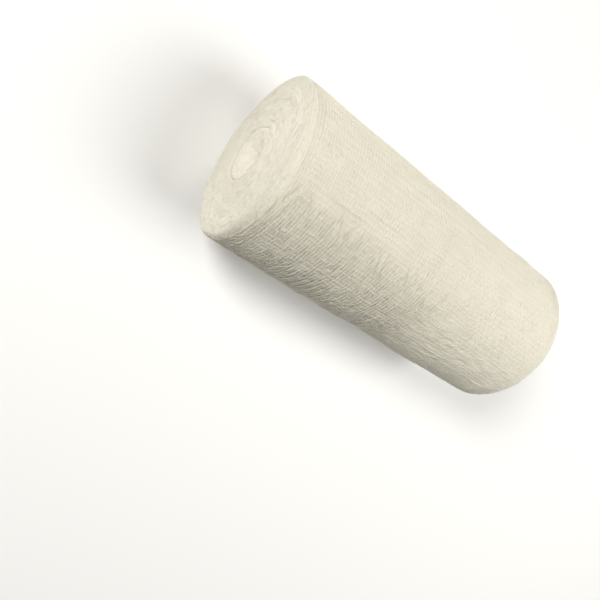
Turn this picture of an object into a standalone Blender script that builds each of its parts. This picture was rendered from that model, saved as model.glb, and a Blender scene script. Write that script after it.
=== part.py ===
# Gauze bandage roll: one length of four-ply cotton gauze, wound without a core tube, lying on its side.
# Metres, +Z up.  The roll's axis runs along X, with its near end, the one seen from the front, at -X.
# The origin is under the middle of the roll, on the flat spot that it rests on.
# Angles around the roll are in degrees, from the top towards +Y.

import math

import bmesh
import bpy
from mathutils import Matrix, Vector

# Driving dimensions
LENGTH = 0.229              # gauze 36 in wide, folded into four plies
RADIUS = 0.0514
FLAT_WIDTH = 0.020          # the spot pressed flat by the roll's own weight
NEAR_RIM = 0.0026           # rounding where the outer turns fold over on to each end
FAR_RIM = 0.0050
END_LEAN = 0.0014           # the near end's turns have slid along, so that its top is set back
END_LEAN_ANGLE = -30.0
END_LEAN_REACH = 0.060

# The wound core, a funnel of soft folds that ends in a small eye
CORE_RADIUS = 0.0170
CORE_DEPTH = 0.0052
CORE_FOLDS = 5
CORE_FOLD_HEIGHT = 0.0005
CORE_FOLD_TWIST = 70.0      # degrees that a fold turns between the core's edge and the eye
EYE_RADIUS = 0.0022
EYE_DEPTH = 0.0030
FAR_CORE_SHARE = 0.7        # the far end's core is drawn in less

# The spiral groove between the core and the first turns around it, seen on both ends
GROOVE_START_ANGLE = 40.0
GROOVE_PITCH = 0.0042
GROOVE_TURNS = 2.2
GROOVE_WIDTH = 0.0013
GROOVE_DEPTH = 0.0011

# The wound face between the core and the rim
FACE_DISH = 0.0009
TURN_PITCH = 0.0092
TURN_RELIEF = 0.0003

# Resolution of the turned shape
STEPS = 64
EYE_RINGS = 2
CORE_RINGS = 6
GROOVE_RINGS = 10
FACE_RINGS = 5
RIM_RINGS = 4
BARREL_BAYS = 18

# Slack and fullness of the outer turn; along is measured from the near end
SWELL_COLUMNS = ("along", "angle", "reach", "spread", "height")
SWELLS = [
    (0.012, 38.0, 0.016, 30.0, 0.0005),
    (0.020, -58.0, 0.022, 34.0, 0.0005),
    (0.060, -28.0, 0.020, 24.0, -0.0005),
    (0.070, -98.0, 0.040, 40.0, 0.0005),
    (0.113, 10.0, 0.006, 60.0, 0.0004),
    (0.122, -82.0, 0.018, 30.0, -0.0007),
    (0.152, -74.0, 0.022, 36.0, 0.0007),
    (0.165, 60.0, 0.040, 40.0, -0.0005),
    (0.195, -52.0, 0.030, 20.0, 0.0004),
    (0.080, 120.0, 0.050, 40.0, 0.0005),
    (0.175, 140.0, 0.040, 34.0, -0.0005),
    (0.205, 20.0, 0.022, 50.0, 0.0004),
]

COTTON_COLOUR = (0.80, 0.77, 0.68, 1.0)
COTTON_ROUGHNESS = 0.95

AXIS_LIMIT = 0.000001       # points nearer the axis than this lie on it
MERGE_DISTANCE = 0.00001


def hump(distance, width):
    """A smooth rise, 1 in its middle and close to 0 past twice its width."""
    return math.exp(-(distance / width) ** 2)


def groove_edge():
    """The radius at which the spiral groove gives way to the plain wound face."""
    return CORE_RADIUS + GROOVE_PITCH * GROOVE_TURNS + GROOVE_WIDTH


def face_depth(radius, core_share):
    """Depth of the turned end below its plane: dished face, funnel of the core, and eye."""
    across = (radius - CORE_RADIUS) / (RADIUS - CORE_RADIUS)
    dish = FACE_DISH * math.sin(math.pi * min(max(across, 0.0), 1.0))
    inward = max(1.0 - radius / CORE_RADIUS, 0.0)
    funnel = CORE_DEPTH * (1.0 - math.cos(math.pi * inward)) / 2.0
    eye = EYE_DEPTH * hump(radius, EYE_RADIUS)
    return dish + core_share * (funnel + eye)


def ring_radii():
    """Where the end's rings lie: close together at the groove, wider elsewhere."""
    stops = [(0.0, 0), (EYE_RADIUS, EYE_RINGS), (CORE_RADIUS - GROOVE_WIDTH, CORE_RINGS),
             (groove_edge(), GROOVE_RINGS), (RADIUS - FAR_RIM, FACE_RINGS)]
    radii = [0.0]
    for (inner, _), (outer, count) in zip(stops, stops[1:]):
        radii += [inner + (outer - inner) * ring / count for ring in range(1, count + 1)]
    return radii


def end_profile(rim, core_share):
    """Pairs of radius and depth below the end's plane, from the axis out to the barrel."""
    points = [(radius, face_depth(radius, core_share)) for radius in ring_radii()]
    for ring in range(1, RIM_RINGS + 1):
        turn = 0.5 * math.pi * ring / RIM_RINGS
        points.append((RADIUS - rim + rim * math.sin(turn), rim - rim * math.cos(turn)))
    return points


def roll_profile():
    """The turned outline, from the middle of the near end at the top to that of the far end."""
    half = LENGTH / 2.0
    near = [(radius, half - depth) for radius, depth in end_profile(NEAR_RIM, 1.0)]
    far = [(radius, depth - half) for radius, depth in end_profile(FAR_RIM, FAR_CORE_SHARE)]
    top = near[-1][1]
    bottom = far[-1][1]
    barrel = [(RADIUS, top + (bottom - top) * bay / BARREL_BAYS) for bay in range(1, BARREL_BAYS)]
    return near + barrel + far[::-1]


def turned_roll(collection):
    """The plain wound form, its outline turned about Z by a Screw modifier."""
    points = roll_profile()
    mesh = bpy.data.meshes.new("roll_outline")
    edges = [(index, index + 1) for index in range(len(points) - 1)]
    mesh.from_pydata([(radius, 0.0, height) for radius, height in points], edges, [])
    outline = bpy.data.objects.new("roll_outline", mesh)
    collection.objects.link(outline)
    screw = outline.modifiers.new("turn", "SCREW")
    screw.axis = "Z"
    screw.angle = math.tau
    screw.steps = STEPS
    screw.render_steps = STEPS
    screw.use_merge_vertices = True
    screw.merge_threshold = MERGE_DISTANCE
    return outline


def evaluated_mesh(source, name):
    """The object's mesh with its modifiers applied; the source object is removed."""
    depsgraph = bpy.context.evaluated_depsgraph_get()
    mesh = bpy.data.meshes.new_from_object(source.evaluated_get(depsgraph))
    mesh.name = name
    bpy.data.objects.remove(source, do_unlink=True)
    return mesh


def swell_height(along, angle):
    """How far the outer turn stands out from the plain cylinder at a place on the barrel."""
    height = 0.0
    for row in SWELLS:
        swell = dict(zip(SWELL_COLUMNS, row))
        turn = (angle - swell["angle"] + 180.0) % 360.0 - 180.0
        height += (swell["height"] * hump(along - swell["along"], swell["reach"])
                   * hump(turn, swell["spread"]))
    return height


def groove_depth(radius, angle):
    """The spiral groove, deepest over its first turn and fading out along its last one."""
    first = ((angle - GROOVE_START_ANGLE) % 360.0) / 360.0
    depth = 0.0
    for lap in range(math.ceil(GROOVE_TURNS)):
        turns = first + lap
        fade = min(max((GROOVE_TURNS - turns) / (GROOVE_TURNS - 1.0), 0.0), 1.0)
        start = min(turns / 0.2, 1.0)
        away = radius - (CORE_RADIUS + GROOVE_PITCH * turns)
        depth += GROOVE_DEPTH * fade * start * hump(away, GROOVE_WIDTH)
    return depth


def fold_height(radius, angle):
    """The gathered folds in the core, twisting towards the eye."""
    share = min(radius / CORE_RADIUS, 1.0)
    twist = CORE_FOLD_TWIST * (1.0 - share)
    return CORE_FOLD_HEIGHT * math.sin(math.pi * share) * math.cos(math.radians(CORE_FOLDS * (angle + twist)))


def turn_relief(radius, angle):
    """The broad spiral of turns on the wound face, fading at the core and at the rim."""
    middle = (groove_edge() + RADIUS) / 2.0
    fade = hump(radius - middle, (RADIUS - groove_edge()) / 3.0)
    return TURN_RELIEF * fade * math.cos(math.tau * (radius / TURN_PITCH - angle / 360.0))


def shape_cloth(shape):
    """Moves the turned form's points to the wound cloth: its slack, lean, groove, folds and turns."""
    half = LENGTH / 2.0
    for vertex in shape.verts:
        radius = math.hypot(vertex.co.y, vertex.co.z)
        angle = math.degrees(math.atan2(vertex.co.y, vertex.co.z))
        along = vertex.co.x + half
        side = 1.0 if along > half else -1.0
        lean = END_LEAN * radius / RADIUS * math.cos(math.radians(angle - END_LEAN_ANGLE))
        vertex.co.x += lean * max(1.0 - along / END_LEAN_REACH, 0.0)
        if radius < AXIS_LIMIT:
            continue
        stretch = 1.0 + swell_height(along, angle) * (radius / RADIUS) ** 4 / radius
        vertex.co.y *= stretch
        vertex.co.z *= stretch
        if radius <= RADIUS - FAR_RIM + AXIS_LIMIT:
            relief = fold_height(radius, angle) + turn_relief(radius, angle) - groove_depth(radius, angle)
            vertex.co.x += side * relief


def rest_flat(shape):
    """Presses the underside to a plane of the stated width."""
    floor = -math.sqrt(RADIUS ** 2 - (FLAT_WIDTH / 2.0) ** 2)
    for vertex in shape.verts:
        vertex.co.z = max(vertex.co.z, floor)


def stand_on_origin(shape):
    """Moves the shape so that the origin is at the middle of its box's underside."""
    low = Vector([min(vertex.co[axis] for vertex in shape.verts) for axis in range(3)])
    high = Vector([max(vertex.co[axis] for vertex in shape.verts) for axis in range(3)])
    middle = (low + high) / 2.0
    bmesh.ops.translate(shape, vec=-Vector((middle.x, middle.y, low.z)), verts=shape.verts)


def cotton_gauze():
    material = bpy.data.materials.new("cotton_gauze")
    material.use_nodes = True
    shader = material.node_tree.nodes["Principled BSDF"]
    shader.inputs["Base Color"].default_value = COTTON_COLOUR
    shader.inputs["Roughness"].default_value = COTTON_ROUGHNESS
    shader.inputs["Metallic"].default_value = 0.0
    return material


def gauze_roll(collection):
    """The whole bandage: one solid of its wound form."""
    mesh = evaluated_mesh(turned_roll(collection), "gauze_roll")
    shape = bmesh.new()
    shape.from_mesh(mesh)
    bmesh.ops.remove_doubles(shape, verts=shape.verts, dist=MERGE_DISTANCE)
    # The turning axis goes from Z to X, with the near end at -X.
    bmesh.ops.transform(shape, matrix=Matrix.Rotation(-math.pi / 2.0, 4, "Y"), verts=shape.verts)
    shape_cloth(shape)
    rest_flat(shape)
    stand_on_origin(shape)
    shape.to_mesh(mesh)
    shape.free()
    mesh.shade_smooth()
    mesh.materials.append(cotton_gauze())
    roll = bpy.data.objects.new("gauze_roll", mesh)
    collection.objects.link(roll)


def main():
    for item in list(bpy.data.objects):
        bpy.data.objects.remove(item, do_unlink=True)
    collection = bpy.data.collections.new("gauze_bandage_roll")
    bpy.context.scene.collection.children.link(collection)
    gauze_roll(collection)


main()
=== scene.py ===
# Gauze bandage roll, dressed: a long four-ply cotton gauze wound on itself, lying on a pale table.
import math
from functools import partial

import bpy
import numpy as np
from mathutils import Matrix, Vector


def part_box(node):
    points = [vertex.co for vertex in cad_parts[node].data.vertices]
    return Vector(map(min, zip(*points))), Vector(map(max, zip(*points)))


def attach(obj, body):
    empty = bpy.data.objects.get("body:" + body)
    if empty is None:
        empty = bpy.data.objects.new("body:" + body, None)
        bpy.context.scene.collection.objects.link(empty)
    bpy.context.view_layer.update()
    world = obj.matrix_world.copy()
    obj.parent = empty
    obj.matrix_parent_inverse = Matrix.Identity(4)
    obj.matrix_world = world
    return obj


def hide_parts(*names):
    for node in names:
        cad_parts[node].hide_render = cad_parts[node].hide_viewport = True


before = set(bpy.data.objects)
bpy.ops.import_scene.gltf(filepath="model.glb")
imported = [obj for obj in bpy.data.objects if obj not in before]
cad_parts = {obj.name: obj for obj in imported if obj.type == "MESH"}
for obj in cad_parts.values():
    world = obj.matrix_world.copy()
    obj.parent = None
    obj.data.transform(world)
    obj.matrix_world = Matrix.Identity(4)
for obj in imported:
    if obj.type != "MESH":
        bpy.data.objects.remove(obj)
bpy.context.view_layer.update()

mm = 0.001
cadLow, cadHigh = (np.array(corner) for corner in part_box("gauze_roll"))

# The wound form, with the same driving sizes as the solid. Lengths in mm, angles in degrees.
# "along" runs from the near end, "arc" round the roll from its top towards +Y.
roll = {
    "length": 229.0, "radius": 51.4, "flatWidth": 20.0,
    "nearRim": 2.6, "farRim": 5.0,
    "softRim": 6.5, "softRimAngle": -18.0, "softRimSpread": 46.0,       # the near fold is fuller on top
    "tightRim": 0.8, "tightRimAngle": 72.0, "tightRimSpread": 20.0,     # and creased sharp on the far side
    "rimBlend": 40.0,            # how far along the barrel this unevenness of the rim runs out
    "endLean": 1.4, "endLeanAngle": -30.0, "endLeanReach": 60.0,
    "footLean": 0.857,           # the share of the lean by which the near end's foot stands out
    "threadRoom": 0.25,          # the body stops this far above the table; threads fill the rest
}

# The wound core, a funnel of soft folds that ends in a small shaded eye; the far one is shallower
core = {
    "radius": 17.0, "depth": 5.2, "folds": 7, "foldHeight": 0.07, "foldTwist": 70.0,
    "eyeRadius": 1.7, "eyeDepth": 2.7, "eyeShade": 1.2, "eyeShadeRadius": 1.8, "farShare": 0.7,
    "aside": 1.0, "below": 3.0, "tall": 1.18, "drawnIn": 24.0,      # it sits low, and is taller than wide
    "shoulder": 0.8, "shoulderRadius": 19.3, "shoulderWidth": 1.5,
    "shoulderSides": 0.55, "shoulderEnds": 0.45, "shoulderAngle": 12.0,
}

# The cleft around the core, and the line of the first turn, which leaves the cleft on the +Y side
groove = {
    "radius": 17.0, "width": 0.4, "depth": 1.2,
    "waver": 0.25, "ripple": 0.15,                        # it strays from a circle
    "open": 0.68, "pinch": 0.44, "pinchAngle": 30.0,      # is pressed nearly shut on one side
    "widen": 0.9,                                         # and is wider above and below
    "startAngle": 14.0, "leaving": 32.0, "reach": 100.0, "rise": 4.4, "lineDepth": 0.8,
    "fadeFrom": 10.0, "fadeIn": 25.0, "fadeOut": 35.0,
}

face = {"dish": 0.9, "turnPitch": 9.2, "turnRelief": 0.3}

swellColumns = ("along", "angle", "reach", "spread", "height")
swells = [
    (12, 38, 16, 30, 0.5), (20, -58, 22, 34, 0.5), (60, -28, 20, 24, -0.5), (70, -98, 40, 40, 0.5),
    (113, 10, 8, 60, 0.15), (122, -82, 18, 30, -0.7), (152, -74, 22, 36, 0.7), (165, 60, 40, 40, -0.3),
    (195, -52, 30, 20, 0.4), (80, 120, 50, 40, 0.5), (175, 140, 40, 34, -0.5), (205, 20, 22, 50, 0.4),
]


def hump(distance, width):
    return np.exp(-(distance / width) ** 2)


def ease(value):
    share = np.clip(value, 0.0, 1.0)
    return share * share * (3.0 - 2.0 * share)


def cloudNoise(points, scale, seed, waves=28):
    # smooth unevenness of about 1 either way: a fixed sum of plane waves, so it has no seam
    draw = np.random.default_rng(seed)
    heading = draw.normal(size=(waves, 3))
    heading /= np.linalg.norm(heading, axis=1)[:, None]
    heading *= (2.0 * math.pi / scale * draw.uniform(0.55, 1.45, waves))[:, None]
    phase = draw.uniform(0.0, 2.0 * math.pi, waves)
    total = np.zeros(len(points))
    for wave, start in zip(heading, phase):
        total += np.sin(points @ wave + start)
    return total / math.sqrt(waves / 2.0)


def faceDepth(radius, coreShare):
    across = np.clip((radius - core["radius"]) / (roll["radius"] - core["radius"]), 0.0, 1.0)
    inward = np.clip(1.0 - radius / core["radius"], 0.0, 1.0)
    funnel = core["depth"] * (1.0 - np.cos(math.pi * inward)) / 2.0
    eye = core["eyeDepth"] * hump(radius, core["eyeRadius"])
    return face["dish"] * np.sin(math.pi * across) + coreShare * (funnel + eye)


def turnFrom(angle, start):
    # how far round an angle lies from another, up to half a turn either way
    return (angle - start + 180.0) % 360.0 - 180.0


def swellHeight(along, angle):
    height = np.zeros_like(along)
    for row in swells:
        swell = dict(zip(swellColumns, row))
        turn = turnFrom(angle, swell["angle"])
        height += swell["height"] * hump(along - swell["along"], swell["reach"]) * hump(turn, swell["spread"])
    return height


def grooveDepth(radius, angle):
    wavering = groove["radius"] + groove["waver"] * np.sin(np.radians(3.0 * angle + 40.0))
    wavering += groove["ripple"] * np.sin(np.radians(7.0 * angle))
    tighter = groove["open"] - groove["pinch"] * np.cos(np.radians(angle - groove["pinchAngle"]))
    wider = groove["width"] * (1.0 + groove["widen"] * np.cos(np.radians(angle)) ** 2)
    depth = groove["depth"] * tighter * hump(radius - wavering, wider)
    turned = (angle - groove["startAngle"]) % 360.0
    fade = ease((turned - groove["fadeFrom"]) / groove["fadeIn"])
    fade *= ease((groove["reach"] - turned) / groove["fadeOut"])
    away = radius - wavering - groove["rise"] * ease(turned / groove["leaving"])
    return np.maximum(depth, groove["lineDepth"] * fade * hump(away, groove["width"]))


def foldHeight(radius, angle):
    share = np.minimum(radius / core["radius"], 1.0)
    twist = core["foldTwist"] * (1.0 - share)
    return core["foldHeight"] * np.sin(math.pi * share) * np.cos(np.radians(core["folds"] * (angle + twist)))


def shoulderHeight(radius, angle):
    # the first turns stand up around the cleft, most of all above and below it
    upright = np.abs(np.cos(np.radians(angle - core["shoulderAngle"])))
    share = core["shoulderSides"] + core["shoulderEnds"] * upright
    return core["shoulder"] * share * hump(radius - core["shoulderRadius"], core["shoulderWidth"])


def turnRelief(radius, angle):
    edge = core["radius"] + groove["rise"] + groove["width"]
    fade = hump(radius - (edge + roll["radius"]) / 2.0, (roll["radius"] - edge) / 3.0)
    return face["turnRelief"] * fade * np.cos(2.0 * math.pi * (radius / face["turnPitch"] - angle / 360.0))


# Creases of the outer turn: height, width and then the path, as along and arc in turn.
# A negative height is a trough. Where they lie and how long they run follows the real roll.
creases = [
    # puckers around the roll on its shaded side
    (0.40, 0.60, 48.2, -58, 46, -45), (0.35, 0.55, 43.7, -63, 43.7, -57),
    (0.45, 0.60, 52.5, -55, 54, -49, 56, -47, 57, -40, 59.5, -34),
    (0.45, 0.60, 57.5, -48.5, 59.6, -43, 62, -38, 63.3, -35, 63.7, -30), (-0.40, 0.90, 60, -37, 62, -31),
    (0.35, 0.55, 64.2, -60, 64.2, -53), (0.45, 0.60, 74, -58.5, 72.9, -52, 71, -46, 71.5, -40, 71.5, -22),
    (0.40, 0.60, 81, -66, 80.5, -59, 78.7, -54, 77.5, -50), (0.30, 0.55, 91, -67, 91, -63),
    (0.35, 0.55, 89, -59.5, 88.5, -52), (0.35, 0.55, 93.8, -56, 93, -51),
    (0.40, 0.60, 102, -64, 101.5, -57.5, 103.7, -52.5),
    (0.40, 0.60, 106.7, -63, 107, -57, 108, -52, 106.7, -43), (0.40, 0.60, 112, -65, 111, -60, 112.5, -54),
    (0.35, 0.55, 117, -58, 116, -53.5), (0.35, 0.55, 121.2, -59, 121.7, -52, 120.4, -46),
    (0.30, 0.55, 48, -40, 48, -34),
    # the folded edge at the near end
    (-0.15, 1.20, 3.5, -66, 3.5, -48, 3.2, -30), (0.40, 0.80, 8.8, -64, 8.8, -51),
    (0.30, 0.60, 5, 30, 9, 26), (0.30, 0.60, 4, 33, 9, 28), (0.30, 0.60, 4, 40, 9, 36),
    (-0.25, 0.80, 2.5, 30, 3, 42), (0.20, 0.55, 5.6, -58, 5.9, -30, 5.2, -4),
    (0.18, 0.55, 7.6, -44, 7.4, -12, 7.9, 22), (-0.20, 0.60, 10.2, -48, 10.6, -20, 10.1, 16),
    (0.20, 0.55, 1.0, -40, 0.6, 0, 1.2, 48), (0.18, 0.55, 3.4, -20, 3.0, 12, 3.6, 26),
    # a band of stronger ribs half way along
    (0.18, 0.50, 108.6, -12, 108.6, 10, 108.6, 24), (0.24, 0.50, 110.7, -13, 110.7, 14, 110.7, 40),
    (0.24, 0.50, 112.8, -13, 112.8, 14, 112.8, 36), (0.30, 0.60, 109.5, -13.2, 117, -12.6),
    (-0.40, 0.70, 110.6, -18, 110.6, -14),
    # the pucker where two gathers meet
    (0.30, 0.60, 50, -12.3, 60, -12), (-0.40, 0.80, 62.5, -9.6, 65.5, -9.3),
    # raised lines along the roll, between light and shade
    (0.30, 0.55, 10, -30.5, 30, -30.8, 50, -30.5), (0.25, 0.50, 12, -24, 38, -24),
    (0.30, 0.50, 70, -32.7, 85, -32.7), (0.35, 0.60, 104, -35, 110, -35), (0.35, 0.60, 104, -34, 104, -30),
    # slack folds along the far half
    (0.22, 0.90, 142, -45.5, 151, -45, 160, -45.5), (0.22, 0.80, 131, -42.5, 140, -41.5, 150, -41),
    (0.19, 0.80, 171, -42, 178, -41, 184, -42, 190, -41), (0.22, 0.80, 146, -39.5, 158, -39, 170, -39.7),
    (0.17, 0.70, 158, -36.5, 168, -36.3), (0.19, 0.80, 156, -33, 164, -32.6, 172, -33),
    (0.17, 0.70, 200, -31, 208, -30.6, 215, -31), (0.19, 0.70, 159.5, -50, 159.5, -44),
    (0.20, 0.60, 135, 41.2, 157, 41.8),
    # and those that run straight along it
    (0.24, 0.90, 144, -51.5, 163, -51.5), (0.17, 0.70, 181, -35.5, 187, -35.5),
    (0.17, 0.70, 190, -37, 199, -37), (0.19, 0.70, 205, -36, 215, -36),
    (0.19, 0.80, 128, -29.7, 135, -29.7), (-0.29, 1.60, 131, -28, 133, -28),
    (0.17, 0.70, 148, -28, 160, -28), (0.17, 0.70, 123, -25, 130, -25), (0.17, 0.70, 190, -25, 195, -25),
    (0.17, 0.70, 212, -24.5, 220, -24.5), (0.17, 0.70, 170, -23.5, 177, -23.5),
    (0.17, 0.70, 185, -20.5, 197, -20.5), (0.17, 0.80, 141, -62, 147, -62),
    (0.24, 1.40, 124, -17, 129, -17), (-0.24, 0.90, 123, -21.5, 127, -21.5),
    (-0.19, 1.20, 146, -48, 162, -48), (-0.19, 1.00, 153, -42.3, 162, -42.3),
    (-0.19, 1.00, 150, -30.5, 172, -30.5),
]

# fine slack lines along the top and the lit side, where the outer plies gape a little; the body's colour is
# also darkened along them, as painted shade
slackPaths = {              # by height and width
    (-0.17, 0.50): [
        (12, -9.5, 38, -11, 60, -10), (90, -10, 94, -7.5, 100, -6), (100, -5, 125, -4, 138, -3),
        (10, -4.5, 35, -3.4, 60, -2.8),
        (10, 0.8, 40, 1, 55, 3, 80, 3.2, 90, 4, 103, 6, 118, 6.3, 128, 7.5, 140, 8.2),
        (38, 19, 52, 20, 62, 20.7, 80, 21, 92, 22),
    ],
    (-0.15, 0.50): [
        (8, -10.5, 14, -8.5, 25, -7), (75, -9, 80, -6), (107, -10, 110, -8.5), (114, -0.2, 130, 1.2),
        (60, 9, 70, 8, 80, 9), (100, 8, 110, 10.5), (118, 11.3, 128, 12.7, 138, 13),
        (120, 16.7, 130, 17.5, 140, 17.5), (144, 14, 162, 15.7, 180, 14.3, 195, 14, 210, 15.3),
        (170, 9.5, 178, 8.3, 190, 8.5, 205, 8), (150, 3.5, 160, 4), (171, 4, 189, 2.7),
        (140, -8.5, 152, -5), (213, 2.8, 220, 4.5),
    ],
    (-0.18, 0.50): [
        (0, 12.5, 22, 13.3, 45, 13.7, 60, 15, 80, 14.7, 102, 14.5),
    ],
    (-0.15, 0.45): [
        (10, 1, 14, 2.5), (20, 15.5, 26, 20), (37, 23, 42, 25), (51, 25, 54, 27),
    ],
    (-0.14, 0.50): [
        (60, 40, 78, 40.5), (149, 32, 156, 32),
    ],
}
slackLines = [(*shape, *path) for shape, paths in slackPaths.items() for path in paths]

# Creases of the near end in the same way, with the path's places as towards +Y and up from the axis
faceCreases = [
    (-0.26, 0.70, 33, 14, 35, 4, 34, -5), (-0.23, 0.70, 35, -15, 40, -25),
    (-0.29, 0.80, 12, -43, 25, -38, 32, -32), (0.26, 0.90, 15, -38, 20, -32),
    (-0.20, 0.60, -20, 30, -6, 37, 8, 38), (-0.20, 0.60, 22, 30, 30, 22, 35, 12),
    (0.16, 0.60, -32, -8, -30, -22, -20, -36), (-0.20, 0.60, -24, 12, -27, 0, -26, -12),
    (0.20, 0.60, 2, 44, 16, 43, 28, 38), (-0.20, 0.50, 10, 46, 24, 42, 34, 34),
    (-0.20, 0.70, 0, 2, 4, -5, 8, -10), (-0.16, 0.60, -3, -2, -6, -9, -6, -15),
    (0.30, 3.40, -5, 10, -8, 1, -5, -9), (0.14, 0.60, 3, 4, 6, 10, 6, 14),
    (0.14, 0.60, 0, 5, 1, 11, -1, 15), (0.14, 3.20, 4, 12, 9, 8, 11, 2),
]

# Unevenness that no single crease gives: scale along and around in mm, height, and where it lies
# as (from, to) along and (from, to) in arc; it fades over the stated soft edge.
unevenColumns = ("scaleAlong", "scaleAround", "height", "along", "arc", "edge")
unevenSeed = 40
uneven = [
    (26.0, 26.0, 0.10, (-60, 290), (-170, 170), 1.0),        # the slack of the whole outer turn
    (2.6, 9.0, 0.11, (19, 128), (-84, -18), 16.0),           # gathers around the shaded near half
    (4.2, 3.6, 0.06, (19, 128), (-84, -18), 16.0),           # and its crumples
    (13.0, 4.6, 0.10, (118, 226), (-84, -20), 9.0),          # folds along the shaded far half
    (3.4, 4.2, 0.06, (150, 232), (-30, 60), 14.0),           # the finely crumpled far end
    (6.0, 30.0, 0.05, (-4, 130), (-20, 80), 12.0),           # low swells around the lit near half
    (3.2, 14.0, 0.10, (4, 226), (78, 190), 12.0),            # the side that faces away
    (3.2, 14.0, 0.10, (4, 226), (-190, -78), 12.0),
]

# The body under the outer threads: one closed, finely divided surface
body = {
    "inset": 0.50,                       # the outer ply's threads lie on it and reach the full radius
    "fineArc": (-72.0, 26.0), "fineColumns": 4, "plainColumns": 2,      # columns for each weft
    "eyeReach": 15.2, "eyeStep": 0.5, "cleftReach": 19.4, "cleftStep": 0.28,
    "faceStep": 0.6, "farFaceStep": 2.2, "rimSteps": 6,
    "closestRow": 0.4,                   # to a rim, as a share of the rows' spacing
}
bodyRadius = roll["radius"] - body["inset"]
nearFlat = bodyRadius - roll["nearRim"]
farFlat = bodyRadius - roll["farRim"]
nearRimRun = roll["nearRim"] * math.pi / 2.0
farRimRun = roll["farRim"] * math.pi / 2.0
barrelStart = nearFlat + nearRimRun                     # profile length from the near centre to the barrel
barrelStop = barrelStart + roll["length"] - roll["nearRim"] - roll["farRim"]
profileLength = barrelStop + farRimRun + farFlat

# The weave: 12 threads to the inch run around the roll and 8 to the inch along it. The body's rows and
# columns fall on the threads and between them, so that it carries their ribs without a finer mesh.
weave = {"threadPitch": 25.4 / 12.0, "wefts": 102, "rings": 110, "firstRing": 50.4}
ringRun = weave["firstRing"] - barrelStart + roll["nearRim"]            # where ring 0 lies along the barrel
weftPitch = 2.0 * math.pi * bodyRadius / weave["wefts"]

# How high the cloth ribs up over its threads, in mm: over the rings and over the wefts. Each patch has
# its place as (from, to) along and in arc, with a soft edge.
ribColumns = ("overRings", "overWefts", "along", "arc", "edge")
ribs = [
    (0.03, 0.02, (-20, 250), (-170, 170), 1.0),
    (0.09, 0.03, (26, 126), (-72, -10), 16.0),
    (0.02, 0.01, (5, 118), (-14, 30), 10.0),
]

# Where the outer ply stands off, on the shaded near half, less light gets down to the body, so its colour is
# darkened there: painted shade
underLoose = {"along": (16.0, 146.0), "arc": (-82.0, -8.0), "edge": 24.0, "shade": 0.14}


def profileRows():
    # one row for each ring of points: profile length, along, radius, and how far it faces out and endways
    eyeStops = np.arange(0.0, body["eyeReach"], body["eyeStep"])
    cleftStops = np.arange(body["eyeReach"], body["cleftReach"], body["cleftStep"])
    faceSpan = nearFlat - body["cleftReach"]
    faceStops = np.linspace(body["cleftReach"], nearFlat, round(faceSpan / body["faceStep"]) + 1)
    rows = [(distance, 0.0, distance, 0.0, -1.0) for distance in [*eyeStops, *cleftStops, *faceStops]]
    for turn in np.linspace(0.0, math.pi / 2.0, body["rimSteps"] + 1)[1:]:
        rows.append((nearFlat + roll["nearRim"] * turn, roll["nearRim"] * (1.0 - math.cos(turn)),
                     nearFlat + roll["nearRim"] * math.sin(turn), math.sin(turn), -math.cos(turn)))
    start, stop = roll["nearRim"], roll["length"] - roll["farRim"]
    halfPitch = weave["threadPitch"] / 2.0
    closest = body["closestRow"] * halfPitch
    along = ringRun
    while along < stop - closest:
        if along > start + closest:
            rows.append((barrelStart + along - start, along, bodyRadius, 1.0, 0.0))
        along += halfPitch
    for turn in np.linspace(math.pi / 2.0, 0.0, body["rimSteps"] + 1)[:-1]:
        rows.append((barrelStop + roll["farRim"] * (math.pi / 2.0 - turn),
                     roll["length"] - roll["farRim"] * (1.0 - math.cos(turn)),
                     farFlat + roll["farRim"] * math.sin(turn), math.sin(turn), math.cos(turn)))
    for distance in np.linspace(farFlat, 0.0, round(farFlat / body["farFaceStep"]) + 1):
        rows.append((profileLength - distance, roll["length"], distance, 0.0, 1.0))
    return np.array(rows)


def columnAngles():
    # on the wefts and between them, closer together over the stretch that carries the fine creases
    arcs = []
    for weft in range(weave["wefts"]):
        arc = (weft + 0.5 - weave["wefts"] / 2.0) * weftPitch
        fine = body["fineArc"][0] < arc < body["fineArc"][1]
        count = body["fineColumns"] if fine else body["plainColumns"]
        arcs += [arc + weftPitch * (step / count - 0.5) for step in range(count)]
    return np.degrees(np.array(arcs) / bodyRadius)


def ribRelief(run, arc):
    overRings = np.cos(2.0 * math.pi * (run - ringRun) / weave["threadPitch"])
    overWefts = np.cos(2.0 * math.pi * (arc / weftPitch - 0.5))
    relief = np.zeros_like(run)
    for row in ribs:
        patch = dict(zip(ribColumns, row))
        inside = patchShare(run, arc, patch)
        relief += inside * (patch["overRings"] * overRings + patch["overWefts"] * overWefts)
    return relief


def patchShare(run, arc, patch):
    inside = np.ones_like(run)
    for value, (start, stop) in ((run, patch["along"]), (arc, patch["arc"])):
        inside *= ease((value - start) / patch["edge"]) * ease((stop - value) / patch["edge"])
    return inside


creaseShape = {"reach": 3.0, "runOut": 0.22}         # in widths, and as a share of the crease's length


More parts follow.
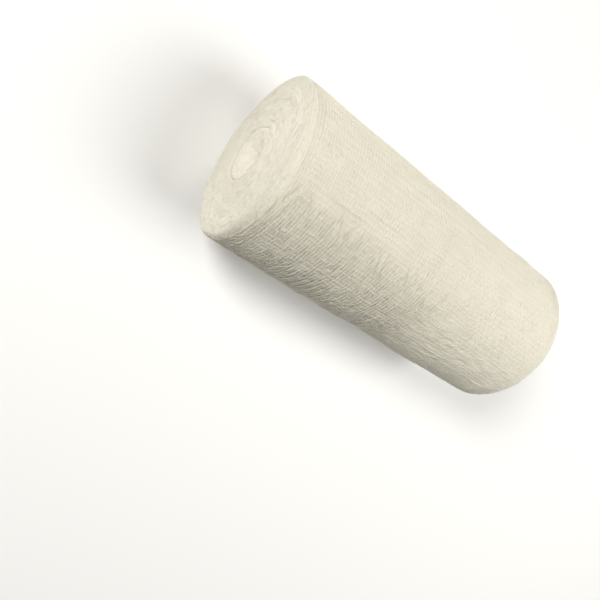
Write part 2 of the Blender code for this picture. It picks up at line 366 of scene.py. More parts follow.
def creaseRelief(rows, run, arc):
    # every crease is a soft ridge or trough along its path, running out to nothing at both ends
    relief = np.zeros_like(run)
    for height, width, *path in rows:
        stops = np.array(path, dtype=float).reshape(-1, 2)
        reach = creaseShape["reach"] * width
        low, high = stops.min(axis=0) - reach, stops.max(axis=0) + reach
        near = np.nonzero((run > low[0]) & (run < high[0]) & (arc > low[1]) & (arc < high[1]))[0]
        if not len(near):
            continue
        place = np.stack([run[near], arc[near]], axis=1)
        spans = np.linalg.norm(np.diff(stops, axis=0), axis=1)
        done = 0.0
        best = np.zeros(len(near))
        for start, stop, span in zip(stops, stops[1:], spans):
            share = np.clip(((place - start) @ (stop - start)) / span ** 2, 0.0, 1.0)
            away = np.linalg.norm(place - start - share[:, None] * (stop - start), axis=1)
            travelled = (done + share * span) / spans.sum()
            fade = ease(travelled / creaseShape["runOut"]) * ease((1.0 - travelled) / creaseShape["runOut"])
            best = np.maximum(best, fade * hump(away, width))
            done += span
        relief[near] += height * best
    return relief


def unevenRelief(run, arc):
    turn = arc / bodyRadius
    ring = np.stack([np.sin(turn), np.cos(turn)], axis=1) * bodyRadius
    relief = np.zeros_like(run)
    for number, row in enumerate(uneven):
        patch = dict(zip(unevenColumns, row))
        scaled = np.column_stack([run / patch["scaleAlong"], ring / patch["scaleAround"]])
        relief += patch["height"] * patchShare(run, arc, patch) * cloudNoise(scaled, 1.0, unevenSeed + number)
    return relief


# The soft mottle of the folded edges on both ends: clouds as (height, scale, seed), and turns that stand
# a little higher or lower than the next
endMottle = {
    "clouds": ((0.05, 7.0, 11), (0.03, 2.6, 12)), "apart": 90.0,       # the ends' patterns differ
    "turnHeight": 0.06, "turnWidth": 1.7, "turnWaves": 2.6, "turnSeed": 13,
}


def shapeBody():
    # the body's points in mm, row by row, before they are set on the table
    rows = profileRows()
    columns = columnAngles()
    angle = np.tile(columns, len(rows))
    run, along, radius, outward, endward = (np.repeat(rows[:, column], len(columns)) for column in range(5))
    onFace = 1.0 - ease(outward)
    side = np.where(along > roll["length"] / 2.0, 1.0, -1.0)
    share = np.where(side < 0.0, 1.0, core["farShare"])
    turn = np.radians(angle)

    # the fuller fold on top of the near end: its quarter turn is drawn out over a wider corner
    away = turnFrom(angle, roll["softRimAngle"])
    rim = roll["nearRim"] + (roll["softRim"] - roll["nearRim"]) * hump(away, roll["softRimSpread"])
    away = turnFrom(angle, roll["tightRimAngle"])
    rim += (roll["tightRim"] - roll["nearRim"]) * hump(away, roll["tightRimSpread"])
    rimTurn = np.clip((run - nearFlat) / nearRimRun, 0.0, 1.0) * math.pi / 2.0
    nearHalf = along < roll["length"] / 2.0
    onNearFace = nearHalf & (run <= nearFlat)
    radius = np.where(onNearFace, radius * (bodyRadius - rim) / nearFlat, radius)
    onRim = nearHalf & (run > nearFlat) & (run < barrelStart)
    radius = np.where(onRim, bodyRadius - rim + rim * np.sin(rimTurn), radius)
    along = np.where(onRim, rim * (1.0 - np.cos(rimTurn)), along)
    blend = np.clip((run - barrelStart) / roll["rimBlend"], 0.0, 1.0)
    onBarrel = nearHalf & (run >= barrelStart)
    along = np.where(onBarrel, along + (rim - roll["nearRim"]) * (1.0 - blend), along)

    # the wound face
    place = along - side * faceDepth(radius, share) * onFace
    cleft = grooveDepth(radius, angle) * onFace
    relief = foldHeight(radius, angle) - cleft + turnRelief(radius, angle) + shoulderHeight(radius, angle)
    place += side * relief * onFace
    lean = roll["endLean"] * radius / roll["radius"] * np.cos(np.radians(angle - roll["endLeanAngle"]))
    place += lean * np.clip(1.0 - along / roll["endLeanReach"], 0.0, 1.0)
    distance = radius + swellHeight(along, angle) * (radius / roll["radius"]) ** 4

    # the creases and unevenness of the outer turn, and the soft mottle of the folded edges on the ends
    arc = turn * bodyRadius
    barrelRun = run - barrelStart + roll["nearRim"]
    gape = creaseRelief(slackLines, barrelRun, arc)
    lift = gape + creaseRelief(creases, barrelRun, arc)
    lift += unevenRelief(barrelRun, arc) + ribRelief(barrelRun, arc)
    lift *= ease(2.0 * outward)
    flat = np.stack([side * endMottle["apart"], radius * np.sin(turn), radius * np.cos(turn)], axis=1)
    mottle = sum(height * cloudNoise(flat, scale, seed) for height, scale, seed in endMottle["clouds"])
    waves = endMottle["turnWaves"]
    inTurns = np.stack([radius / endMottle["turnWidth"], waves * np.sin(turn), waves * np.cos(turn)], axis=1)
    mottle += endMottle["turnHeight"] * cloudNoise(inTurns, 1.0, endMottle["turnSeed"])
    mottle += np.where(side < 0.0, creaseRelief(faceCreases, flat[:, 1], flat[:, 2]), 0.0)
    place += side * mottle * onFace
    place += endward * lift
    distance += outward * lift

    # the turns near the core are taller than wide and sit a little below the middle
    drawn = ease((roll["radius"] - radius) / core["drawnIn"])
    across = distance * np.sin(turn) + core["aside"] * drawn
    upright = distance * np.cos(turn) * (1.0 + (core["tall"] - 1.0) * drawn) - core["below"] * drawn

    # painted shade for the material: darker in the cleft, at the eye, along the gaping slack lines and under
    # the loose outer ply
    paintedEyeShade = core["eyeShade"] * hump(radius, core["eyeShadeRadius"]) * onFace
    paintedShade = np.maximum(cleft / groove["depth"] + paintedEyeShade, -gape)
    paintedShade += underLoose["shade"] * patchShare(barrelRun, arc, underLoose)
    return rows, columns, np.stack([place, across, upright], axis=1), np.clip(paintedShade, 0.0, 1.0)


def bodyMesh(name):
    rows, columns, points, paintedShade = shapeBody()
    count, total = len(columns), len(rows)
    floor = -math.sqrt(roll["radius"] ** 2 - (roll["flatWidth"] / 2.0) ** 2)
    points[:, 2] = np.maximum(points[:, 2], floor + roll["threadRoom"]) - floor
    points[:, 0] += cadLow[0] / mm + roll["endLean"] * roll["footLean"]        # the foot is at the lowest X
    points *= mm

    # the rings of points, closed by one point in the middle of each end
    near = points[:count].mean(axis=0)
    far = points[-count:].mean(axis=0)
    vertices = np.vstack([near[None], points[count:-count], far[None]])
    last = len(vertices) - 1
    pairs = [(column, (column + 1) % count) for column in range(count)]
    arcs = np.radians(np.append(columns, 180.0)) * bodyRadius * mm
    runs = rows[:, 0] * mm
    faces = []
    corners = []
    for a, b in pairs:
        faces.append((0, 1 + a, 1 + b))
        corners += [(0.0, (arcs[a] + arcs[a + 1]) / 2.0), (runs[1], arcs[a]), (runs[1], arcs[a + 1])]
    for row in range(total - 3):
        low = 1 + row * count
        high = low + count
        for a, b in pairs:
            faces.append((low + b, low + a, high + a, high + b))
            corners += [(runs[row + 1], arcs[a + 1]), (runs[row + 1], arcs[a]),
                        (runs[row + 2], arcs[a]), (runs[row + 2], arcs[a + 1])]
    edge = 1 + (total - 3) * count
    for a, b in pairs:
        faces.append((last, edge + b, edge + a))
        corners += [(runs[-1], (arcs[a] + arcs[a + 1]) / 2.0), (runs[-2], arcs[a + 1]), (runs[-2], arcs[a])]
    mesh = bpy.data.meshes.new(name)
    mesh.from_pydata([tuple(vertex) for vertex in vertices.tolist()], [], faces)
    # the painted shade goes to the body's material as a point attribute
    shade = mesh.attributes.new("paintedShade", "FLOAT", "POINT")
    shade.data.foreach_set("value", np.concatenate([[0.0], paintedShade[count:-count], [0.0]]).astype(np.float32))
    layer = mesh.uv_layers.new(name="clothMap")
    layer.uv.foreach_set("vector", np.array(corners, dtype=np.float32).ravel())
    mesh.shade_smooth()
    mesh.update()
    return mesh


def hexColour(code):
    channels = [int(code[start:start + 2], 16) / 255.0 for start in (0, 2, 4)]
    linear = [c / 12.92 if c <= 0.04045 else ((c + 0.055) / 1.055) ** 2.4 for c in channels]
    return (*linear, 1.0)


shortKinds = {"Math": "ShaderNodeMath", "Vector": "ShaderNodeVectorMath", "Join": "ShaderNodeCombineXYZ",
              "Split": "ShaderNodeSeparateXYZ", "Noise": "ShaderNodeTexNoise", "Mix": "ShaderNodeMix",
              "Range": "ShaderNodeMapRange"}


def addNode(tree, kind, *values, **settings):
    # Adds a node, its operation given after a colon. The values fill its inputs in order, as links or
    # as fixed values, and None skips one.
    kind, _, operation = kind.partition(":")
    node = tree.nodes.new(shortKinds.get(kind, kind))
    if operation:
        node.operation = operation
    for key, value in settings.items():
        setattr(node, key, value)
    for socket, value in zip([socket for socket in node.inputs if socket.enabled], values):
        if value is None:
            continue
        if isinstance(value, bpy.types.Node):
            value = next(output for output in value.outputs if output.enabled)
        if isinstance(value, bpy.types.NodeSocket):
            tree.links.new(value, socket)
        else:
            socket.default_value = value
    return node


def arithmetic(tree):
    # plus, minus, times, and times then plus
    kinds = ("ADD", "SUBTRACT", "MULTIPLY", "MULTIPLY_ADD")
    return (partial(addNode, tree, "Math:" + kind) for kind in kinds)


def fromEnd(tree, lengthwise):
    # how far a place is from the middle of the nearer end, over the surface
    return addNode(tree, "Math:MINIMUM", lengthwise,
                   addNode(tree, "Math:SUBTRACT", profileLength * mm, lengthwise))


def newMaterial(name):
    material = bpy.data.materials.new(name)
    material.use_nodes = True
    return material, material.node_tree, material.node_tree.nodes["Principled BSDF"]


def newObject(name, mesh, material):
    item = bpy.data.objects.new(name, mesh)
    bpy.context.scene.collection.objects.link(item)
    mesh.materials.clear()
    mesh.materials.append(material)
    return item


def setInputs(node, values):
    for label, value in values.items():
        node.inputs[label].default_value = value


cottonFeel = {"Roughness": 0.95, "Specular IOR Level": 0.2, "Sheen Weight": 0.12}


def finishCotton(tree, shader, colour):
    tree.links.new(next(output for output in colour.outputs if output.enabled), shader.inputs["Base Color"])
    setInputs(shader, cottonFeel)


def clothPattern(tree):
    # where a point lies on the cloth map, with the turn around the roll laid on a circle so it has no seam
    put = partial(addNode, tree)
    onMap = put("Split", put("ShaderNodeUVMap", uv_map="clothMap"))
    angle = put("Math:DIVIDE", onMap.outputs["Y"], bodyRadius * mm)
    return onMap.outputs["X"], put("Math:SINE", angle), put("Math:COSINE", angle)


# Sizes in mm; an edge is where, measured in from the middle of an end, one tone passes into the next
bodyFinish = {
    # dull and bright are darker than the yarn: painted shade of the plies above; felted is painted light on
    # the uncovered ends; shaded is painted shade in the folds
    "dull": "D3CFBF", "bright": "E3DFD0", "felted": "F6F0E3", "shaded": "8C8778",
    "streakTurns": 11.0, "streakWidth": 0.9,             # streaks 5 mm long and 0.9 mm across
    "mottle": 1.6, "mottleShare": 0.5, "cloud": 14.0, "cloudShare": 0.5, "reliefShare": 0.57,
    "streakDetail": (2.0, 0.55), "mottleDetail": (3.0, 0.6),            # noise detail and roughness
    "toneRange": (0.45, 0.95),
    "endEdge": (45.0, 51.0), "endShare": 0.62, "coreEdge": (14.0, 17.5), "coreShare": 0.38,
    "paintedShadeShare": 0.42, "bump": 0.8, "bumpDepth": 0.40,
}


def bodyCloth():
    # The inner plies: bleached cotton gauze seen between the outer threads and as felted fold edges on the
    # ends, its own colours darker than the yarn's as painted shade of the plies above. Matt, with soft
    # streaks that run round with the turns, and a slight fibrous mottle.
    finish = bodyFinish
    material, tree, shader = newMaterial("bleachedCottonGauze")
    put = partial(addNode, tree)
    plus, _, times, timesPlus = arithmetic(tree)
    run, across, upright = clothPattern(tree)
    inTurns = put("Join", times(across, finish["streakTurns"]), times(upright, finish["streakTurns"]),
                  put("Math:DIVIDE", run, finish["streakWidth"] * mm))
    streak = put("Noise", inTurns, None, 1.0, *finish["streakDetail"]).outputs["Fac"]
    spot = put("ShaderNodeTexCoord").outputs["Object"]
    mottle = put("Noise", spot, None, 1.0 / (finish["mottle"] * mm), *finish["mottleDetail"])
    mottle = mottle.outputs["Fac"]
    cloud = put("Noise", spot, None, 1.0 / (finish["cloud"] * mm), 1.0).outputs["Fac"]
    relief = plus(streak, times(mottle, finish["mottleShare"]))
    tone = timesPlus(cloud, finish["cloudShare"], times(relief, finish["reliefShare"]))
    tone = put("Range", tone, *finish["toneRange"], 0.0, 1.0)
    colour = put("Mix", tone, hexColour(finish["dull"]), hexColour(finish["bright"]), data_type="RGBA")
    # painted light: the folded edges on the ends are lifted back towards the yarn's tone, as they catch more
    # light than the plies between the outer threads, and the loose cloth of the core a little more again
    inward = fromEnd(tree, run)
    shares = []
    for part in ("end", "core"):
        start, stop = finish[part + "Edge"]
        shares.append(put("Range", inward, start * mm, stop * mm, finish[part + "Share"], 0.0))
    colour = put("Mix", plus(*shares), colour, hexColour(finish["felted"]), data_type="RGBA")
    # painted shade: hardly any light gets down into the cleft around the core, the eye and the narrow folds,
    # nor under the loose outer ply, so the colour is darkened there
    depth = put("ShaderNodeAttribute", attribute_name="paintedShade").outputs["Fac"]
    depth = times(depth, finish["paintedShadeShare"])
    colour = put("Mix", depth, colour, hexColour(finish["shaded"]), data_type="RGBA")
    bump = put("ShaderNodeBump", finish["bump"], finish["bumpDepth"] * mm)
    tree.links.new(relief.outputs[0], bump.inputs["Height"])
    tree.links.new(bump.outputs[0], shader.inputs["Normal"])
    finishCotton(tree, shader, colour)
    return material


bodyPiece = newObject("gauze_body", bodyMesh("gauze_body"), bodyCloth())
bodyPiece.data.calc_loop_triangles()
print("body done:", len(bodyPiece.data.loop_triangles), "triangles")


def geometryTree(name, inputs):
    # a tree with named inputs, given as name: (kind, value)
    tree = bpy.data.node_groups.new(name, "GeometryNodeTree")
    tree.interface.new_socket("Geometry", in_out="OUTPUT", socket_type="NodeSocketGeometry")
    for label, (kind, value) in inputs.items():
        socket = tree.interface.new_socket(label, in_out="INPUT", socket_type="NodeSocket" + kind)
        if kind not in ("Object", "Material"):
            socket.default_value = value
    entry = tree.nodes.new("NodeGroupInput")
    return tree, {label: entry.outputs[label] for label in inputs}


def grown(name, tree, inputs, material):
    # runs the tree on an empty mesh and keeps its result as a plain mesh
    holder = bpy.data.objects.new(name + "_holder", bpy.data.meshes.new(name + "_holder"))
    bpy.context.scene.collection.objects.link(holder)
    modifier = holder.modifiers.new("grow", "NODES")
    modifier.node_group = tree
    for item in tree.interface.items_tree:
        if item.in_out == "INPUT":
            modifier[item.identifier] = inputs[item.name][1]
    graph = bpy.context.evaluated_depsgraph_get()
    mesh = bpy.data.meshes.new_from_object(holder.evaluated_get(graph))
    mesh.name = name
    bpy.data.objects.remove(holder, do_unlink=True)
    return newObject(name, mesh, material)


def clothSample(tree, given, mapPlace):
    # the body's place and normal at a point of its cloth map, given in metres
    target = addNode(tree, "GeometryNodeObjectInfo", given["Body"]).outputs["Geometry"]
    clothMap = addNode(tree, "GeometryNodeInputNamedAttribute", "clothMap", data_type="FLOAT_VECTOR")
    surface = []
    for field in ("GeometryNodeInputPosition", "GeometryNodeInputNormal"):
        value = addNode(tree, field)
        surface.append(addNode(tree, "GeometryNodeSampleUVSurface", target, value, clothMap, mapPlace,
                               data_type="FLOAT_VECTOR"))
    return surface


# What all threads have in common. Lengths in mm, angles in radians from the top towards +Y, and
# "lengthwise" counted from the middle of the near end, over its rim and along the roll.
threads = {
    "shortest": 0.4, "lengthRange": 1.2,             # a scattered thread's length, in shares of its reach
    "leastGirth": 3.0,                               # it bends no tighter than this around the axis
    "chanceStep": 0.37, "ownPart": 7.31,             # set the draws and the threads apart in their noises
    "sharedBends": 3.4, "patches": 5.6,              # bends 15 mm and patches 9 mm across
    "patchSeed": 50.0,
    "feltedFrom": 170.0, "feltedTo": 250.0, "felted": -0.1,
    "looseTurns": ((-0.15, -0.55), (-1.7, -1.4)), "looseRuns": ((62.0, 95.0), (200.0, 170.0)),
    "slub": 4.0, "thinnest": 0.3, "girthRange": 1.4, "tip": 0.15,
    "seam": math.pi * 0.99999,                       # just inside the cloth map's edge
}


def threadTree(name, inputs, layout):
    # Threads on the cloth map, each wandering a little. Woven ones run "around" or "along" at an even
    # count and pass over and under in turn; "scattered" ones are short, each at a place of its own.
    tree, given = geometryTree(name, inputs)
    put = partial(addNode, tree)
    plus, minus, times, timesPlus = arithmetic(tree)
    line = put("GeometryNodeCurvePrimitiveLine")
    line = put("GeometryNodeResampleCurve", line, None, given["Points"])
    copies = put("GeometryNodeDuplicateElements", line, None, given["Threads"], domain="SPLINE")
    thread = copies.outputs["Duplicate Index"]
    along = put("GeometryNodeSplineParameter")
    step, factor = along.outputs["Index"], along.outputs["Factor"]
    threadMark = put("Join", thread)
    chances = []
    for draw in range(5):
        seed = plus(given["Seed"], threads["chanceStep"] * draw)
        chance = put("ShaderNodeTexWhiteNoise", threadMark, seed, noise_dimensions="4D")
        chances.append(chance.outputs["Value"])
    bow = times(times(factor, minus(1.0, factor)), 4.0)
    if layout == "scattered":
        reach = timesPlus(chances[2], threads["lengthRange"], threads["shortest"])
        reach = times(reach, given["Reach"])
        reach = times(reach, minus(factor, 0.5))
        heading = minus(chances[3], 0.5)
        heading = timesPlus(heading, given["Spread"], given["Heading"])
        crowded = put("Math:POWER", chances[0], given["Crowding"])
        lengthwise = timesPlus(crowded, given["Pitch"], given["First"])
        girthHere = put("Math:MINIMUM", fromEnd(tree, lengthwise), bodyRadius * mm)
        girthHere = put("Math:MAXIMUM", girthHere, threads["leastGirth"] * mm)
        angle = put("Math:DIVIDE", times(reach, put("Math:COSINE", heading)), girthHere)
        angle = timesPlus(chances[1], given["Turn"], angle)
        angle = plus(angle, given["Turn From"])
        lengthwise = timesPlus(reach, put("Math:SINE", heading), lengthwise)
    else:
        turnShare = plus(step if layout == "around" else thread, 0.5)
        turnShare = put("Math:DIVIDE", turnShare, given["Points" if layout == "around" else "Threads"])
        angle = times(minus(turnShare, 0.5), 2.0 * math.pi)
        lengthwise = timesPlus(thread if layout == "around" else step, given["Pitch"], given["First"])

    # two wanderings, a slow one shared by neighbours and one of each thread's own, and uneven spacing
    ring = put("Join", times(lengthwise, 1.0 / bodyRadius / mm), put("Math:SINE", angle),
               put("Math:COSINE", angle))
    shared = put("Noise", ring, given["Seed"], threads["sharedBends"], 2.0, noise_dimensions="4D")
    shared = shared.outputs["Fac"]
    alone = put("Vector:ADD", ring, put("Join", times(thread, threads["ownPart"])))
    alone = put("Noise", alone, given["Seed"], given["Kinks"], 1.0, noise_dimensions="4D").outputs["Fac"]
    swing = times(minus(shared, 0.5), given["Drift"])
    swing = timesPlus(minus(alone, 0.5), given["Wander"], swing)
    swing = timesPlus(minus(chances[4], 0.5), given["Bunching"], swing)
    if layout == "along":
        angle = plus(angle, put("Math:DIVIDE", swing, bodyRadius * mm))
    else:
        lengthwise = plus(lengthwise, swing)
    if layout == "scattered":
        angle = put("Math:WRAP", angle, threads["seam"], -threads["seam"])
    else:
        angle = put("Math:MINIMUM", put("Math:MAXIMUM", angle, -threads["seam"]), threads["seam"])
    mapPlace = put("Join", lengthwise, times(angle, bodyRadius * mm))
    place, normal = clothSample(tree, given, mapPlace)

    # over and under the crossing threads, and down into the folds at both ends of the roll
    crossing = times(timesPlus(step, given["Crossings"], thread), math.pi)
    lift = bow if layout == "scattered" else put("Math:COSINE", crossing)
    height = timesPlus(lift, given["Wave"], given["Lift"])
    if layout != "scattered":
        sunk = put("Range", fromEnd(tree, lengthwise), given["Sink From"], given["Sink To"], -1.0, 0.0)
        height = timesPlus(sunk, given["Thickness"], height)
        # the plies are felted closer together towards the far end
        felted = put("Range", lengthwise, threads["feltedFrom"] * mm, threads["feltedTo"] * mm,
                     0.0, threads["felted"] * mm)
        height = plus(height, felted)
        # and in patches where the thread almost disappears
        seed = plus(given["Seed"], threads["patchSeed"])
        patchy = put("Noise", ring, seed, threads["patches"], 1.0, noise_dimensions="4D")
        patchy = minus(patchy.outputs["Fac"], 0.5)
        height = timesPlus(patchy, given["Patchiness"], height)
        # while they stand off the body where the outer turn is gathered, on its shaded near half
        loose = given["Looseness"]
        ramps = [(angle, start, stop) for start, stop in threads["looseTurns"]]
        ramps += [(lengthwise, start * mm, stop * mm) for start, stop in threads["looseRuns"]]
        for value, start, stop in ramps:
            loose = times(loose, put("Range", value, start, stop, 0.0, 1.0))
        height = plus(height, loose)
    spot = put("Vector:ADD", place, put("Vector:SCALE", normal, height))
    split = put("Split", spot)
    rest = put("Math:MAXIMUM", split.outputs["Z"], times(given["Thickness"], 0.5))
    spot = put("Join", split.outputs["X"], split.outputs["Y"], rest)
    laid = put("GeometryNodeSetPosition", copies, None, spot)
    if layout == "around":
        laid = put("GeometryNodeSetSplineCyclic", laid, None, True)
    slub = put("Noise", spot, None, 1.0 / (threads["slub"] * mm), 1.0).outputs["Fac"]
    girth = timesPlus(slub, threads["girthRange"], threads["thinnest"])
    if layout == "scattered":
        girth = times(girth, put("Math:MAXIMUM", bow, threads["tip"]))
    outline = put("GeometryNodeCurvePrimitiveCircle", given["Sides"], mode="RADIUS")
    tree.links.new(times(given["Thickness"], 0.5).outputs[0], outline.inputs["Radius"])
    tube = put("GeometryNodeCurveToMesh", laid, outline, girth, True)
    smooth = put("GeometryNodeSetShadeSmooth", tube)
    real = put("GeometryNodeRealizeInstances", smooth)
    put("NodeGroupOutput", put("GeometryNodeSetMaterial", real, None, given["Material"]))
    return tree


def treeInputs(values, cloth):
    # a thread tree's inputs: counts, turns in degrees, plain numbers, and all others as lengths in mm
    inputs = {"Body": ("Object", bodyPiece), "Material": ("Material", cloth)}
    for label, value in values.items():
        if label in ("Threads", "Points", "Sides"):
            inputs[label] = ("Int", value)
        elif label in ("Turn From", "Turn"):
            inputs[label] = ("Float", math.radians(value))
        elif label in ("Crossings", "Kinks", "Crowding", "Heading", "Spread", "Seed"):
            inputs[label] = ("Float", value)
        else:
            inputs[label] = ("Float", value * mm)
    return inputs


# The threads of the two outer plies. Real yarn is about 0.2 mm thick, less than a pixel of the render, so
# it is drawn 0.38 to 0.46 mm thick to show. The pitches are the cloth's own, and the second ply's rings
# lie half a pitch along from the outer one's. Threads sink into the folds of both ends.
ways = {
    "around": {"Threads": weave["rings"], "Wave": 0.05, "Drift": 1.5, "Wander": 0.55, "Kinks": 9.0,
               "Bunching": 0.35, "Sink From": 49.4, "Sink To": 54.5},
    "along": {"Threads": weave["wefts"], "First": 52.52, "Wave": -0.05, "Drift": 5.0, "Wander": 2.2,
              "Kinks": 5.0, "Bunching": 1.9, "Sink From": 52.0, "Sink To": 64.0},
}
crossingPoints = {"around": weave["wefts"], "along": 107}         # points on a thread of the second ply
plies = {
    "outer": {"fineness": 2, "offset": 0.0, "sides": 4, "looseness": 0.09,
              "lift": {"around": 0.22, "along": 0.16}, "thickness": {"around": 0.46, "along": 0.38}},
    "second": {"fineness": 1, "offset": 0.5, "sides": 3, "looseness": 0.0,
               "lift": {"around": 0.02, "along": 0.02}, "thickness": {"around": 0.40, "along": 0.40}},
}
patchiness = 0.35


def wovenValues(way, ply, seed):
    layer, pitch = plies[ply], weave["threadPitch"]
    values = {
        **ways[way], "Pitch": pitch, "Points": crossingPoints[way] * layer["fineness"],
        "Crossings": 1.0 / layer["fineness"], "Lift": layer["lift"][way], "Sides": layer["sides"],
        "Thickness": layer["thickness"][way], "Patchiness": patchiness, "Looseness": layer["looseness"],
        "Seed": seed,
    }
    if way == "around":
        values["First"] = weave["firstRing"] + layer["offset"] * pitch
    else:
        values["Pitch"] = pitch / layer["fineness"]
    return values


def growThreads(name, layout, values, cloth):
    inputs = treeInputs(values, cloth)
    piece = grown(name, threadTree(name, inputs, layout), inputs, cloth)
    print(name, "done:", len(piece.data.polygons), "faces")
    return piece


yarnSlub = {"size": 3.0, "detail": (2.0, 0.6), "toneRange": (0.3, 0.7)}


def yarnCloth(name, dullColour, brightColour):
    # bleached carded cotton yarn: soft, matt and unevenly thick, a little brighter where it is looser
    material, tree, shader = newMaterial(name)
    put = partial(addNode, tree)
    spot = put("ShaderNodeTexCoord").outputs["Object"]
    slub = put("Noise", spot, None, 1.0 / (yarnSlub["size"] * mm), *yarnSlub["detail"]).outputs["Fac"]
    tone = put("Range", slub, *yarnSlub["toneRange"], 0.0, 1.0)
    colour = put("Mix", tone, hexColour(dullColour), hexColour(brightColour), data_type="RGBA")
    finishCotton(tree, shader, colour)
    return material


yarn = yarnCloth("bleachedCottonYarn", "E6E2D3", "F4F1E4")
# the second ply's yarn is painted darker: painted shade from the ply above
shadedYarn = yarnCloth("bleachedCottonYarnPaintedShade", "DEDACA", "EAE7D9")        # in the shade of the ply above
wovenRows = {                    # each piece's way, ply and seed
    "gauze_outer_warp": ("around", "outer", 3.0),
    "gauze_outer_weft": ("along", "outer", 5.0),
    "gauze_second_warp": ("around", "second", 7.0),
    "gauze_second_weft": ("along", "second", 9.0),
}
nets = []
for name, (way, ply, seed) in wovenRows.items():
    nets.append(growThreads(name, way, wovenValues(way, ply, seed), yarn if ply == "outer" else shadedYarn))

# The outer turn's folds where it turns over the near rim: a few soft rings, half sunk
rimFolds = {
    "Threads": 5, "First": 46.6, "Pitch": 1.2, "Thickness": 0.34, "Lift": -0.06, "Drift": 3.2,
    "Wander": 1.6, "Bunching": 0.3, "Sink From": 0.0, "Sink To": 10.0, "Seed": 13.0,
}
rimValues = {**wovenValues("around", "outer", 0.0), **rimFolds}
nets.append(growThreads("near_rim_folds", "around", rimValues, yarn))

# Short threads that belong to no weave, each row a piece: turn edges pressed flat on the two ends,
# puckered and slack threads of the outer turn, and loose cotton hairs. "Pitch" is the span they lie in,
# and headings are in radians away from the way round the roll. A hair is really 0.02 mm thick, too fine
# to show, and is drawn 0.08 to 0.15 mm thick.
scatterColumns = ("Threads", "Points", "First", "Pitch", "Crowding", "Turn From", "Turn", "Reach", "Heading",
                  "Spread", "Lift", "Wave", "Thickness", "Drift", "Wander")
scatterRows = {
    "near_turn_edges": (2500, 5, 18.5, 34.5, 0.65, 0, 360, 4.0, 0.0, 0.6, -0.04, 0.07, 0.27, 1.5, 0.6),
    "core_turn_edges": (140, 6, 3.0, 13.0, 0.6, 0, 360, 4.0, 0.0, 0.9, -0.05, 0.10, 0.30, 1.5, 0.6),
    "far_turn_edges": (1100, 6, 280.0, 44.0, 1.4, 0, 360, 6.0, 0.0, 0.8, -0.03, 0.12, 0.36, 1.5, 0.6),
    "near_hairs": (2900, 4, 3.0, 49.0, 0.6, 0, 360, 3.2, 0.0, 2.6, 0.06, 0.20, 0.15, 1.5, 0.5),
    "far_hairs": (900, 4, 278.0, 46.0, 1.5, 0, 360, 3.0, 0.0, 3.0, 0.05, 0.22, 0.12, 1.5, 0.5),
    "barrel_hairs": (1600, 4, 50.0, 230.0, 1.0, 0, 360, 3.6, 0.0, 6.0, 0.25, 0.55, 0.08, 1.5, 0.5),
    "puckered_threads": (640, 12, 52.5, 126.0, 1.0, -92, 80, 11.0, 0.0, 1.1, 0.16, 0.36, 0.42, 3.0, 1.4),
    "slack_threads": (280, 12, 174.0, 100.0, 1.0, -90, 68, 9.0, 1.4, 0.7, 0.00, 0.20, 0.38, 3.0, 1.0),
}
scatterShared = {"Crossings": 0.0, "Kinks": 6.0, "Bunching": 0.0, "Sides": 3}
scatterSeed = 21.0
# the hairs are painted brighter than the yarn: a painted highlight, since single fibres catch the light
lint = yarnCloth("looseCottonHairs", "F2EFE4", "FBF9F0")      # single fibres, which catch the light
for number, (name, row) in enumerate(scatterRows.items()):
    values = {**dict(zip(scatterColumns, row)), **scatterShared, "Seed": scatterSeed + 2.0 * number}
    nets.append(growThreads(name, "scattered", values, lint if name.endswith("hairs") else yarn))

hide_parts("gauze_roll")
for piece in (bodyPiece, *nets):
    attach(piece, "root")

# The table: pale matt laminate, which takes a soft shadow and shows no reflection
tableSize = 6.0
tableFeel = {"Base Color": hexColour("F2F2F0"), "Roughness": 0.8, "Emission Color": hexColour("FFFFFF"),
             "Emission Strength": 0.05}
half = tableSize / 2.0
tableCorners = [(-half, -half, 0.0), (half, -half, 0.0), (half, half, 0.0), (-half, half, 0.0)]
tableMesh = bpy.data.meshes.new("table_top")
tableMesh.from_pydata(tableCorners, [], [(0, 1, 2, 3)])
tableCoat, _, tableShader = newMaterial("paleLaminate")
setInputs(tableShader, tableFeel)
tablePiece = newObject("table_top", tableMesh, tableCoat)

# The camera stands where the photograph was taken from. Its place follows from where the near end's
# middle shows, how far off it is, and how the roll's axis turns and tilts in the view.
camera = {
    "frame": 600.0, "focal": 598.0, "sensor": 36.0,                      # the first two in pixels
    "nearAcross": -49.2, "nearDown": -145.5, "nearDepth": 331.5,         # pixels from the centre, and mm
    "axisTurn": 31.09, "axisTilt": 28.46, "clipStart": 0.01,
}


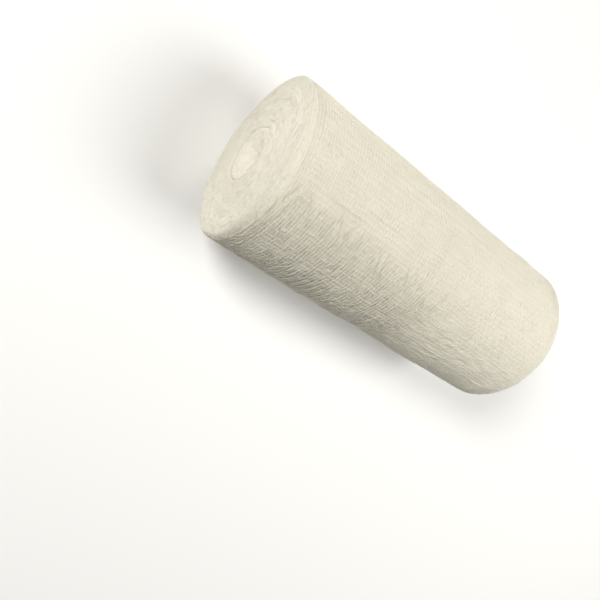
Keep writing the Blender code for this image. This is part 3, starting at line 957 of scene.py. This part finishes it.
def placeCamera():
    turn, tilt = math.radians(camera["axisTurn"]), math.radians(camera["axisTilt"])
    # the roll's axes as the camera sees them: x right, y down, z away
    axisX = Vector((math.cos(turn) * math.cos(tilt), math.sin(turn) * math.cos(tilt), math.sin(tilt)))
    away = Vector((0.0, 0.0, 1.0))
    axisZ = (axisX * axisX.dot(away) - away).normalized()
    axisY = axisZ.cross(axisX)
    depth = camera["nearDepth"] * mm
    seen = Vector((camera["nearAcross"] * depth / camera["focal"],
                   camera["nearDown"] * depth / camera["focal"], depth))
    toRow = Matrix((axisX, axisY, axisZ))
    nearMiddle = Vector((cadLow[0] + (cadHigh[0] - cadLow[0] - roll["length"] * mm), 0.0,
                         math.sqrt(roll["radius"] ** 2 - (roll["flatWidth"] / 2.0) ** 2) * mm))
    spot = nearMiddle - toRow @ seen
    right, down, forward = (toRow @ Vector(way) for way in ((1, 0, 0), (0, 1, 0), (0, 0, 1)))
    turned = Matrix((right, -down, -forward)).transposed().to_4x4()
    turned.translation = spot
    lens = bpy.data.cameras.new("camera")
    lens.sensor_width = camera["sensor"]
    lens.lens = camera["focal"] / camera["frame"] * camera["sensor"]
    lens.clip_start = camera["clipStart"]
    eye = bpy.data.objects.new("camera", lens)
    bpy.context.scene.collection.objects.link(eye)
    eye.matrix_world = turned
    bpy.context.scene.camera = eye


placeCamera()

# Soft studio light: a broad key high off the near end and a little to the +Y side, a wide lamp over the
# far half, and a faint even surround
aim = (0.0, 0.0, 0.05)
surroundFeel = {"Color": hexColour("FFFFFF"), "Strength": 0.08}
lights = {
    "key": {"place": (-0.92, 0.25, 0.90), "size": 0.45, "power": 11.8, "colour": "FFFDFA"},
    "overhead": {"place": (0.58, 0.04, 0.95), "size": 0.8, "power": 9.4, "colour": "FFFDFA"},
}


def placeLight(name, setting):
    lamp = bpy.data.lights.new(name, "AREA")
    lamp.shape = "DISK"
    lamp.size = setting["size"]
    lamp.energy = setting["power"]
    lamp.color = hexColour(setting["colour"])[:3]
    item = bpy.data.objects.new(name, lamp)
    bpy.context.scene.collection.objects.link(item)
    item.location = setting["place"]
    item.rotation_euler = (Vector(aim) - item.location).to_track_quat("-Z", "Y").to_euler()


for name, setting in lights.items():
    placeLight(name, setting)

surround = bpy.data.worlds.new("studio")
surround.use_nodes = True
setInputs(surround.node_tree.nodes["Background"], surroundFeel)
bpy.context.scene.world = surround
bpy.context.scene.view_settings.view_transform = "Standard"
print("stage, camera and lights done")
